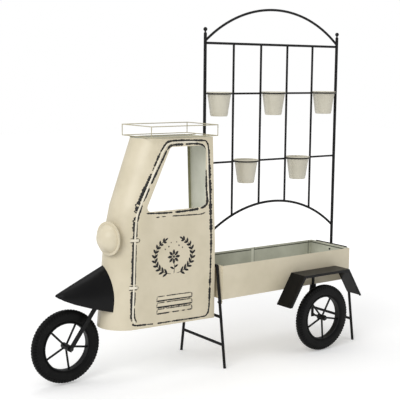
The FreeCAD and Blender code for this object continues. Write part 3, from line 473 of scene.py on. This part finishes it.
def half_round(name, points, width, height):
    """A raised pale bead along a smooth line: its section is half an ellipse that flattens to nothing
    at both ends."""
    line, along = evenly(through(points), 3.0)
    ends = np.clip(np.minimum(along, along[-1] - along) / 14, 0.02, 1) ** 0.5
    section_points = 9
    angle = np.linspace(0, math.pi, section_points)
    across = -np.cos(angle)[None, :, None] * (width / 2) * sideways(line)[:, None, :]
    flat = line[:, None, :] + across * ends[:, None, None]
    proud = np.sin(angle)[None, :] * height * ends[:, None]
    points_3d = on_side(flat.reshape(-1, 2), proud.reshape(-1))
    faces = grid_faces(len(line), section_points, False, True)
    mesh = surface(name, points_3d, faces)
    work = bmesh.new()
    work.from_mesh(mesh)
    bmesh.ops.holes_fill(work, edges=[edge for edge in work.edges if edge.is_boundary])
    bmesh.ops.recalc_face_normals(work, faces=work.faces)
    work.to_mesh(mesh)
    work.free()
    # The bead is painted pale: a painted highlight along it.
    finished(name, mesh, [highlight_pale_enamel()])


def leaf(base, way_deg, length, width, curl=0.0):
    """A leaf: its half width is width / 2 times sin(pi t) to the power 0.8 at a share t of its length,
    and its midrib bends by curl."""
    count = 14
    t = np.linspace(0, 1, count)
    rib = np.stack([t * length, curl * length * t * (1 - t)], axis=1)
    half = width / 2 * np.sin(math.pi * t) ** 0.8
    turn = math.radians(way_deg)
    spin = np.array([[math.cos(turn), math.sin(turn)], [-math.sin(turn), math.cos(turn)]])
    edge = sideways(rib) * half[:, None]
    points = np.stack([rib + edge, rib - edge], axis=1).reshape(-1, 2) @ spin + np.array(base, float)
    spans = np.arange(count - 1)[:, None]
    return points, np.hstack([2 * spans, 2 * spans + 1, 2 * spans + 3, 2 * spans + 2])


def dot(centre, radius):
    """A round dot as a ring of quads that leaves only a pinprick bare, 0.02 of its radius."""
    count, inner = 20, 0.02
    angle = np.linspace(0, 2 * math.pi, count, endpoint=False)
    circle = np.stack([np.cos(angle), np.sin(angle)], axis=1)
    points = np.stack([circle * radius, circle * radius * inner], axis=1).reshape(-1, 2)
    here = np.arange(count)[:, None]
    after = (here + 1) % count
    return points + np.array(centre, float), np.hstack([2 * here, 2 * after, 2 * after + 1, 2 * here + 1])


# ---------------------------------------------------------------- settings
class CartLooks(bpy.types.PropertyGroup):
    """Sizes and colours that change how the cart is dressed."""
    ink: FloatVectorProperty(
        name="Line paint", description="Colour of the painted line-work", subtype="COLOR",
        default=(0.004, 0.004, 0.004), min=0.0, max=1.0)
    tread_blocks: IntProperty(
        name="Tread blocks", description="Blocks round each tyre", default=72, min=12, max=90)
    tread_depth: FloatProperty(
        name="Tread depth", description="Depth of the grooves between the blocks", default=0.0016,
        unit="LENGTH", min=0.0, max=0.008)
    notch_depth: FloatProperty(
        name="Notch depth", description="Depth of the notches round each tyre's shoulders",
        default=0.0030, unit="LENGTH", min=0.0, max=0.006)
    bead_height: FloatProperty(
        name="Bead height", description="How far the door's raised bead stands out, in millimetres",
        default=2.2, min=0.5, max=6.0)
    line_width: FloatProperty(
        name="Line width", description="Width of the heavy painted lines, in millimetres", default=13.5,
        min=2.0, max=16.0)
    key_power: FloatProperty(
        name="Key light", description="Power of the large soft light", default=105.0, unit="POWER",
        min=0.0, max=1000.0)
    fill_level: FloatProperty(
        name="Fill level", description="How much light comes from all round", default=0.52, min=0.0, max=3.0)


# ---------------------------------------------------------------- pieces
class CART_OT_cab(bpy.types.Operator):
    """Dress the cab's sheets: cream outside, grey-green primer inside"""
    bl_idname = "cart.cab"
    bl_label = "Cab"

    def execute(self, context):
        bottom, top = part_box("cab_skin")
        back_of_middle = 0.12
        inner_line = Vector(((bottom.x + top.x) / 2 + back_of_middle, MIDDLE_Y, 0.0))

        def inside(centres, normals):
            """Faces whose normal points towards an upright line inside the cab."""
            towards = np.array(inner_line)[None, :2] - centres[:, :2]
            return np.einsum("ij,ij->i", towards, normals[:, :2]) > 0.0

        def wall_finish(centres, normals):
            """Primer on the wall's front, and the primer painted darker olive, as painted shade, on the
            flange that looks at the window.
            """
            return np.where(normals[:, 1] < -0.5, 2, normals[:, 0] < 0.5)

        # Inside the cab the paler primer is painted light.
        dressed("cab_skin", [cream_enamel(), lit_pale_primer()], inside)
        # The wall's flange takes the darker olive primer: painted shade.
        dressed("cab_back_wall", [cream_enamel(), lit_pale_primer(), shaded_olive_primer()], wall_finish)
        dressed("cab_roof", [roof_enamel()])
        # The rack's wires take the darker enamel: painted shade.
        for node in ("rack_low_rail", "rack_top_rail", "rack_posts"):
            dressed(node, [shaded_wire_enamel()])
        return {"FINISHED"}


class CART_OT_tray(bpy.types.Operator):
    """Dress the tray's sheets: cream outside, grey-green primer inside"""
    bl_idname = "cart.tray"
    bl_label = "Tray"

    def execute(self, context):
        low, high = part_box("tray_floor")
        middle = np.array((low + high) / 2)
        near_floor = 2 * MM

        def inside(centres, normals):
            """Faces that look at the middle of the tray, and those that look up at the floor's level."""
            towards = middle[None, :2] - centres[:, :2]
            facing = np.einsum("ij,ij->i", towards, normals[:, :2]) > 1e-4
            return facing | ((normals[:, 2] > 0.5) & (centres[:, 2] < high.z + near_floor))

        rim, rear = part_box("tray_far_side")[1].z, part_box("tray_rear_end")[1].x
        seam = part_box("tray_seam_strip")[1].x
        # Lines of painted shade: under the rim's hem, along the rear end's fold and beside the seam strip.
        under_rim, rear_fold, beside_seam = rim - 11 * MM, rear - 22 * MM, seam + 2 * MM
        primer = shade_enamel((("Z", under_rim, 2.5 * MM), ("X", rear_fold, 2 * MM),
                               ("X", beside_seam, 1.5 * MM)))
        for node in ("tray_near_side", "tray_far_side", "tray_front_end", "tray_rear_end", "tray_floor"):
            dressed(node, [cream_enamel(), primer], inside)
        # The seam strip takes the paler primer: a painted highlight along it.
        dressed("tray_seam_strip", [lit_pale_primer()])
        return {"FINISHED"}


class CART_OT_bars(bpy.types.Operator):
    """Dress the legs, the trellis, the rings, the fenders, the rims and the fasteners in black"""
    bl_idname = "cart.bars"
    bl_label = "Bars and fenders"

    def execute(self, context):
        for entry in frame["record"]["subparts"]:
            node, finish = entry["node"], entry["material_slot"]
            if finish == "black_enamel":
                coat = black_sheet_coat() if node.endswith("fender") else powder_coat()
                dressed(node, [coat])
            elif finish == "dark_fasteners":
                dressed(node, [black_oxide()])
        return {"FINISHED"}


class CART_OT_tyres(bpy.types.Operator):
    """Build both tyres with a block tread and notched shoulders"""
    bl_idname = "cart.tyres"
    bl_label = "Tyres"

    def execute(self, context):
        looks = context.scene.cart_looks
        for node, body in (("front_tyre", "front_wheel"), ("rear_tyre", "rear_wheel")):
            low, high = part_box(node)
            centre = (low + high) / 2
            outer, half_width = (high.z - low.z) / 2, (high.y - low.y) / 2
            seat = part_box(node.replace("tyre", "wheel_rim"))
            inner = (seat[1].z - seat[0].z) / 2
            mesh = self.tyre(node, np.array(centre), outer, inner, half_width, looks)
            finished(node + "_shown", mesh, [tyre_rubber()], body, node, 28)
        return {"FINISHED"}

    def tyre(self, name, centre, outer, inner, half_width, looks):
        """The section is a squared-off round: out = sign(c) |c| ** 0.62 and up = sign(s) |s| ** 0.72 for
        an angle round it. Where a smoothed square wave of the angle round the wheel is low, the tread's
        radius drops by the tread depth and the shoulders are notched inwards; the two halves of the
        tread are half a block apart, and a groove runs round the middle. Two thin ribs, each
        exp(-((up - place) / 0.05) ** 2) high, run round the sidewalls."""
        steps, sides, rib = looks.tread_blocks * 10, 72, 0.8 * MM
        around = np.linspace(0, 2 * math.pi, steps, endpoint=False)[:, None]
        section = np.linspace(0, 2 * math.pi, sides, endpoint=False)[None, :]
        c, s = np.cos(section), np.sin(section)
        out = np.sign(c) * np.abs(c) ** 0.62
        up = np.sign(s) * np.abs(s) ** 0.72
        side = np.sign(out)
        phase = around * looks.tread_blocks / (2 * math.pi) + 0.25 * side
        gap = 1 - 1 / (1 + np.exp(-9 * (np.cos(2 * math.pi * phase) + 0.25)))
        crown = np.clip((up - 0.8) / 0.12, 0, 1)
        groove = np.exp(-((out / 0.13) ** 4)) * crown
        ring = np.clip((up - 0.3) / 0.1, 0, 1) * np.clip((0.95 - up) / 0.1, 0, 1)
        ring = ring * np.clip((np.abs(out) - 0.45) / 0.15, 0, 1)
        ribs = sum(np.exp(-(((up - place) / 0.05) ** 2)) for place in (0.12, -0.5))
        radius = (outer + inner) / 2 + (outer - inner) / 2 * up
        radius = radius - looks.tread_depth * np.maximum(gap * crown, groove)
        across = out * (half_width - rib) + side * (rib * ribs * (np.abs(out) > 0.4))
        across = across - side * looks.notch_depth * gap * ring
        x = centre[0] + radius * np.cos(around)
        y = centre[1] + across * np.ones_like(around)
        z = centre[2] + radius * np.sin(around)
        points = np.stack([x, y, z], axis=-1)
        return outward(surface(name + "_shown", points, grid_faces(steps, sides, True, True)))


class CART_OT_pots(bpy.types.Operator):
    """Build the five tapered pots with rolled rims"""
    bl_idname = "cart.pots"
    bl_label = "Pots"

    def execute(self, context):
        for number in range(1, 6):
            node = f"pot_{number}"
            low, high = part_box(node)
            centre = ((low.x + high.x) / 2, (low.y + high.y) / 2, low.z)
            profile = self.profile((high.x - low.x) / 2, high.z - low.z)
            mesh = turned(node + "_shown", profile, centre, (0, 0, 1), 72)
            # The pots take the greyer enamel: painted shade.
            finished(node + "_shown", mesh, [shaded_pot_enamel()], f"pot_body_{number}", node)
        return {"FINISHED"}

    def profile(self, reach, height):
        """Outside up from the base with a soft foot and two pressed bands, over a rolled rim, and down
        the inside to the floor. A band at a share of the height is exp(-((rise - share) / spread) ** 2)
        times its height."""
        roll, sheet, centre_hole = 2.5 * MM, 1.0 * MM, 1e-5
        top, base = reach - roll - 2.0 * MM, 38.0 * MM
        wall = height - 2 * roll
        rise = np.linspace(0, 1, 26)
        falling = rise[::-1]
        low_band, high_band = (0.9 * MM * np.exp(-((rise - share) / spread) ** 2)
                               for share, spread in ((0.16, 0.025), (0.84, 0.02)))
        foot = 1.6 * MM * (1 - np.clip(rise / 0.03, 0, 1)) ** 2
        flare = base + (top - base) * rise
        outside = np.stack([flare + (low_band + high_band) - foot, rise * wall], axis=1)
        turn = np.linspace(math.radians(200), math.radians(-20), 14)
        rim = np.stack([reach - roll + roll * np.cos(turn), height - roll + roll * np.sin(turn)], axis=1)
        inside = np.stack([base - sheet + (top - base) * falling, sheet + falling * wall], axis=1)
        floor = np.array([[centre_hole, sheet], [centre_hole, 0.0]])
        return np.vstack([outside, rim[::-1], inside, floor])


class CART_OT_headlight(bpy.types.Operator):
    """Dress the headlight's bowl and its stem in cream"""
    bl_idname = "cart.headlight"
    bl_label = "Headlight"

    def execute(self, context):
        dressed("headlight_stem", [cream_enamel()])
        dressed("headlight_bowl", [cream_enamel()], sharp_deg=50)
        return {"FINISHED"}


DOOR = [(-250, 236), (-95, 232), (-63, 238), (-51, 268), (-47, 363), (-44, 461), (-42, 559), (-44, 637),
        (-47, 710), (-52, 821), (-57, 921), (-63, 981), (-73, 998), (-95, 1004), (-223, 1008), (-265, 1005),
        (-281, 996), (-305, 964), (-362, 849), (-406, 760), (-419, 719), (-426, 681), (-433, 614),
        (-435, 593), (-441, 431), (-444, 385), (-448, 304), (-447, 267), (-434, 246), (-374, 241)]
WINDOW_FRONT = [(-76, 967), (-92, 984), (-132, 992), (-178, 991), (-250, 989), (-275, 971), (-352, 832),
                (-386, 766), (-398, 738), (-408, 712), (-416, 678)]
WINDOW_REAR = [(-73, 878), (-70, 795), (-65, 739), (-80, 719), (-115, 711), (-189, 707), (-286, 707),
               (-376, 712)]
DOOR_EDGE_LOW = [(-417, 678), (-422, 610), (-425, 560), (-430, 429), (-431, 389), (-434, 324), (-435, 285),
                 (-424, 257)]
FRONT_BEAD = [(-120, 998), (-180, 1000), (-245, 999), (-272, 992), (-292, 966), (-356, 840), (-396, 755),
              (-416, 706), (-424, 650), (-428, 600), (-435, 420), (-441, 300), (-440, 272), (-431, 251)]
REAR_BEAD = [(-76, 984), (-67, 960), (-64, 880), (-60, 800), (-56, 740)]
HINGES = [(-429, 603), (-437, 405)]
VENTS = [(332, 7.5, ()), (305, 11.0, ()), (277, 7.0, ((70, 80), (118, 130), (150, 158)))]


class CART_OT_line_work(bpy.types.Operator):
    """Paint the door, the window, the hinges and the vents in broken black lines with pale beads"""
    bl_idname = "cart.line_work"
    bl_label = "Line-work"

    def execute(self, context):
        looks = context.scene.cart_looks
        wide = looks.line_width
        ink = line_paint(looks.ink)
        strips = [
            brush(DOOR[:5], wide * np.array([0.6, 0.6, 0.5, 0.8, 1.0]), 3),
            brush(DOOR[4:13], wide * np.array([1.0, 0.7, 0.9, 1.3, 1.3, 1.5, 1.0, 0.6]), 4, rough=0.5),
            brush(DOOR[11:18], wide * np.array([0.6, 0.7, 0.75, 0.65]), 5),
            brush(DOOR[16:20], wide * np.array([0.6, 0.75, 1.0]), 6, gaps=((128, 137),), rough=0.6),
            brush(DOOR[18:24], wide * np.array([0.9, 1.3, 1.35, 0.6]), 7, gaps=((148, 160),), rough=0.5),
            brush(DOOR[23:], wide * np.array([0.8, 1.05, 1.05, 0.85, 0.6]), 8,
                  gaps=((178, 199), (330, 338))),
            brush([DOOR[-1], (-330, 238), DOOR[0]], wide * 0.55, 9, gaps=((34, 52),)),
            brush(WINDOW_FRONT[:6], wide * np.array([0.6, 0.75, 0.85, 0.85]), 11, gaps=((116, 124),)),
            brush(WINDOW_FRONT[5:], wide * np.array([0.7, 0.8, 0.7]), 13, gaps=((160, 176), (240, 252))),
            brush(WINDOW_REAR, wide * np.array([0.6, 1.0, 0.85, 0.65, 0.6]), 17,
                  gaps=((190, 196), (322, 332))),
            brush([(-330, 691), (-300, 692), (-278, 692)], 5, 19, gaps=((22, 29),)),
            brush([(-248, 691), (-189, 689), (-108, 687), (-86, 689), (-74, 694)], 5.5, 23),
            brush(DOOR_EDGE_LOW, wide * np.array([0.5, 0.45, 0.55, 0.6]), 29,
                  gaps=((64, 92), (262, 290), (350, 358))),
        ]
        strips += self.hinge_lines() + self.vent_lines()
        painted("line_work", strips, ink)
        half_round("door_bead_front", FRONT_BEAD, 7.5, looks.bead_height)
        half_round("door_bead_rear", REAR_BEAD, 6.5, looks.bead_height)
        for number, middle in enumerate(HINGES, start=1):
            self.knuckle(f"hinge_knuckle_{number}", middle)
        for number, (low, _, _) in enumerate(VENTS, start=1):
            self.louvre(f"vent_louvre_{number}", low)
        return {"FINISHED"}

    def hinge_lines(self):
        """Short strokes over and under each hinge's knuckle."""
        strips = []
        for seed, (x, z) in enumerate(HINGES, start=40):
            strips.append(brush([(x - 19, z + 8), (x - 6, z + 8), (x + 18, z + 7)], 3.4, seed))
            strips.append(brush([(x - 20, z - 8), (x - 2, z - 9), (x + 18, z - 8)], 5.0, seed + 10))
            strips.append(brush([(x + 18, z + 7), (x + 21, z), (x + 18, z - 8)], 3.4, seed + 20))
        return strips

    def vent_lines(self):
        """A thin line over each louvre and a heavy one under it, with both ends closed."""
        strips = []
        for seed, (low, heavy, gaps) in enumerate(VENTS, start=60):
            strips.append(brush([(-327, low + 1), (-240, low), (-142, low - 2)], heavy, seed, gaps))
            strips.append(brush([(-322, low + 20), (-235, low + 19), (-146, low + 17)], 4.6, seed + 10,
                                ((40, 45),)))
            strips.append(brush([(-146, low + 18), (-143, low + 10), (-142, low - 2)], 5.4, seed + 20))
            strips.append(brush([(-322, low + 21), (-323, low + 12), (-325, low + 2)], 4.0, seed + 30))
        return strips

    def knuckle(self, name, middle):
        """A hinge knuckle: a pad whose height is (1 - u^4)(1 - v^4) to the power 0.4."""
        half_length, half_width, height = 17, 5.5, 5.0
        u, v = np.meshgrid(np.linspace(-1, 1, 17), np.linspace(-1, 1, 9), indexing="ij")
        proud = height * (np.clip((1 - u ** 4) * (1 - v ** 4), 0, 1)) ** 0.4
        flat = np.stack([middle[0] + half_length * u, middle[1] + half_width * v], axis=-1)
        # The knuckle is painted pale: a painted highlight.
        self.pad(name, flat, proud, highlight_pale_enamel())

    def louvre(self, name, low):
        """A pressed vent: flush along its top and swelling towards its lower edge."""
        u, v = np.meshgrid(np.linspace(0, 1, 25), np.linspace(0, 1, 9), indexing="ij")
        ends = np.clip(np.minimum(u, 1 - u) * 14, 0, 1) ** 0.6
        proud = 5.5 * (1 - v) ** 0.8 * np.clip(v * 7, 0, 1) * ends
        x = -322 + (175 - 4 * v) * u
        z = low + 4 - 4 * u + 15 * v
        self.pad(name, np.stack([x, z], axis=-1), proud, cream_enamel())

    def pad(self, name, flat, proud, finish):
        """A raised patch: its top over its own flat back."""
        points = flat.reshape(-1, 2)
        top = on_side(points, proud.reshape(-1))
        back = on_side(points, 0.0)
        faces = grid_faces(*proud.shape)
        both = np.vstack([faces, faces + len(top)])
        mesh = surface(name, np.vstack([top, back]), both)
        finished(name, outward(mesh), [finish])


class CART_OT_ornament(bpy.types.Operator):
    """Paint a plain wreath of leaves with one daisy on the door"""
    bl_idname = "cart.ornament"
    bl_label = "Ornament"

    def execute(self, context):
        looks = context.scene.cart_looks
        middle, strips = np.array([-238.0, 520.0]), []
        half_across, half_high = 96, 78
        daisy = middle + np.array([0.0, -4.0])
        for side, foot_deg, tip_deg in ((-1, 262, 120), (1, 278, 420)):
            angle = np.radians(np.linspace(foot_deg, tip_deg, 9))
            arc = middle + np.stack([half_across * np.cos(angle), half_high * np.sin(angle)], axis=1)
            strips.append(brush(arc, 2.6, 80 + side, rough=0.2))
            line, _ = evenly(through(arc), 4.0)
            way = np.degrees(np.arctan2(*np.gradient(line, axis=0).T[::-1]))
            for number, at in enumerate(range(5, len(line) - 1, 5)):
                for lean in (-1, 1):
                    size = 27 - 0.9 * number
                    strips.append(leaf(line[at], way[at] + lean * 42, size, 10, -0.18 * lean))
            strips.append(leaf(line[-1], way[-1], 22, 8))
            for number, (dx, dz) in enumerate(((26, 66), (44, 56), (14, 82))):
                strips.append(dot(middle + np.array([side * dx, dz - 24]), 3.4 - 0.5 * number))
        for petal in range(8):
            turn = petal * math.pi / 4
            root = daisy + 7 * np.array([math.cos(turn), math.sin(turn)])
            strips.append(leaf(root, petal * 45, 25, 12))
        strips.append(dot(daisy, 5.5))
        strips.append(brush([middle + (0, -30), middle + (3, -48), middle + (0, -78)], 3.0, 91))
        strips.append(leaf(middle + np.array([1.5, -52.0]), 28, 24, 9, 0.2))
        strips.append(leaf(middle + np.array([1.5, -58.0]), 152, 24, 9, -0.2))
        painted("door_wreath", strips, line_paint(looks.ink))
        return {"FINISHED"}


class CART_OT_stage(bpy.types.Operator):
    """Set up the paper sweep, the soft studio light and the camera"""
    bl_idname = "cart.stage"
    bl_label = "Stage"

    def execute(self, context):
        looks = context.scene.cart_looks
        scene = context.scene
        scene.view_settings.view_transform = "Standard"
        reach = 14.0
        corners = np.array([[-reach, -reach, 0], [reach, -reach, 0], [reach, reach, 0], [-reach, reach, 0]])
        mesh = surface("paper_sweep", corners, np.array([[0, 1, 2, 3]]))
        mesh.materials.append(studio_floor(near_lift=0.21, far_lift=0.6))
        floor = bpy.data.objects.new("paper_sweep", mesh)
        scene.collection.objects.link(floor)
        self.world(scene, looks)
        self.lamp("key_light", (-3.9, -2.0, 3.2), (-0.2, 0.0, 0.7), 2.8, looks.key_power)
        self.lamp("fill_light", (2.8, -3.6, 2.2), (0.0, 0.0, 0.6), 2.6, looks.key_power * 0.18)
        self.lamp("top_light", (0.3, 0.6, 4.2), (0.0, 0.0, 0.5), 3.0, looks.key_power * 0.45)
        self.camera(scene)
        return {"FINISHED"}

    def world(self, scene, looks):
        """White to the camera and through clear things; a plain grey light to everything else."""
        world = bpy.data.worlds.new("studio")
        world.use_nodes = True
        tree = world.node_tree
        tree.nodes.clear()
        rays = add(tree, "ShaderNodeLightPath")
        seen = add(tree, "ShaderNodeMath", {
            0: rays.outputs["Is Camera Ray"], 1: rays.outputs["Is Transmission Ray"]}, operation="MAXIMUM")
        light = add(tree, "ShaderNodeBackground", {"Color": WHITE, "Strength": looks.fill_level})
        white = add(tree, "ShaderNodeBackground", {"Color": WHITE, "Strength": 1.0})
        mixed = add(tree, "ShaderNodeMixShader", {
            0: seen.outputs[0], 1: light.outputs[0], 2: white.outputs[0]})
        add(tree, "ShaderNodeOutputWorld", {"Surface": mixed.outputs[0]})
        scene.world = world

    def lamp(self, name, place, aim, size, power):
        """A square soft light at a place, turned to its aim."""
        data = bpy.data.lights.new(name, "AREA")
        data.size = size
        data.energy = power
        made = bpy.data.objects.new(name, data)
        made.location = place
        made.rotation_euler = (Vector(aim) - Vector(place)).to_track_quat("-Z", "Y").to_euler()
        bpy.context.scene.collection.objects.link(made)

    def camera(self, scene):
        """The photograph's view: 36 degrees round from straight on, 7.9 degrees down and half a degree
        of roll. The angles are in radians, and the place is measured from the tray's front, the middle
        plane and the floor."""
        yaw, pitch, roll = 0.6281704854, 0.1373604409, 0.0087017074
        focal_px, photo_px, sensor_mm = 923.878, 400, 36.0
        along_mm, aside_mm, height_mm = -2411.4723, -3281.358, 1291.1501
        ahead = Vector((math.sin(yaw) * math.cos(pitch), math.cos(yaw) * math.cos(pitch), -math.sin(pitch)))
        right = Vector((math.cos(yaw), -math.sin(yaw), 0.0))
        up = right.cross(ahead)
        across = math.cos(roll) * right + math.sin(roll) * up
        upright = -math.sin(roll) * right + math.cos(roll) * up
        data = bpy.data.cameras.new("photo_view")
        data.sensor_width = sensor_mm
        data.lens = focal_px / photo_px * sensor_mm
        data.clip_end = 100.0
        camera = bpy.data.objects.new("photo_view", data)
        turn = Matrix((across, upright, -ahead)).transposed()
        camera.matrix_world = Matrix.Translation((
            TRAY_FRONT + along_mm * MM, MIDDLE_Y + aside_mm * MM, height_mm * MM)) @ turn.to_4x4()
        scene.collection.objects.link(camera)
        scene.camera = camera


class CART_PT_looks(bpy.types.Panel):
    """The cart's settings and the buttons that build it"""
    bl_label = "Flower cart"
    bl_idname = "CART_PT_looks"
    bl_space_type = "VIEW_3D"
    bl_region_type = "UI"
    bl_category = "Cart"

    def draw(self, context):
        for name in CartLooks.__annotations__:
            self.layout.prop(context.scene.cart_looks, name)
        for operator in OPERATORS:
            self.layout.operator(operator.bl_idname)


OPERATORS = (CART_OT_cab, CART_OT_tray, CART_OT_bars, CART_OT_tyres, CART_OT_pots, CART_OT_headlight,
             CART_OT_line_work, CART_OT_ornament, CART_OT_stage)
CLASSES = (CartLooks, *OPERATORS, CART_PT_looks)


def register():
    for each in CLASSES:
        bpy.utils.register_class(each)
    bpy.types.Scene.cart_looks = PointerProperty(type=CartLooks)


def unregister():
    del bpy.types.Scene.cart_looks
    for each in reversed(CLASSES):
        bpy.utils.unregister_class(each)


def main():
    """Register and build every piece."""
    register()
    for operator in OPERATORS:
        group, name = operator.bl_idname.split(".")
        getattr(getattr(bpy.ops, group), name)()


if __name__ == "__main__":
    main()
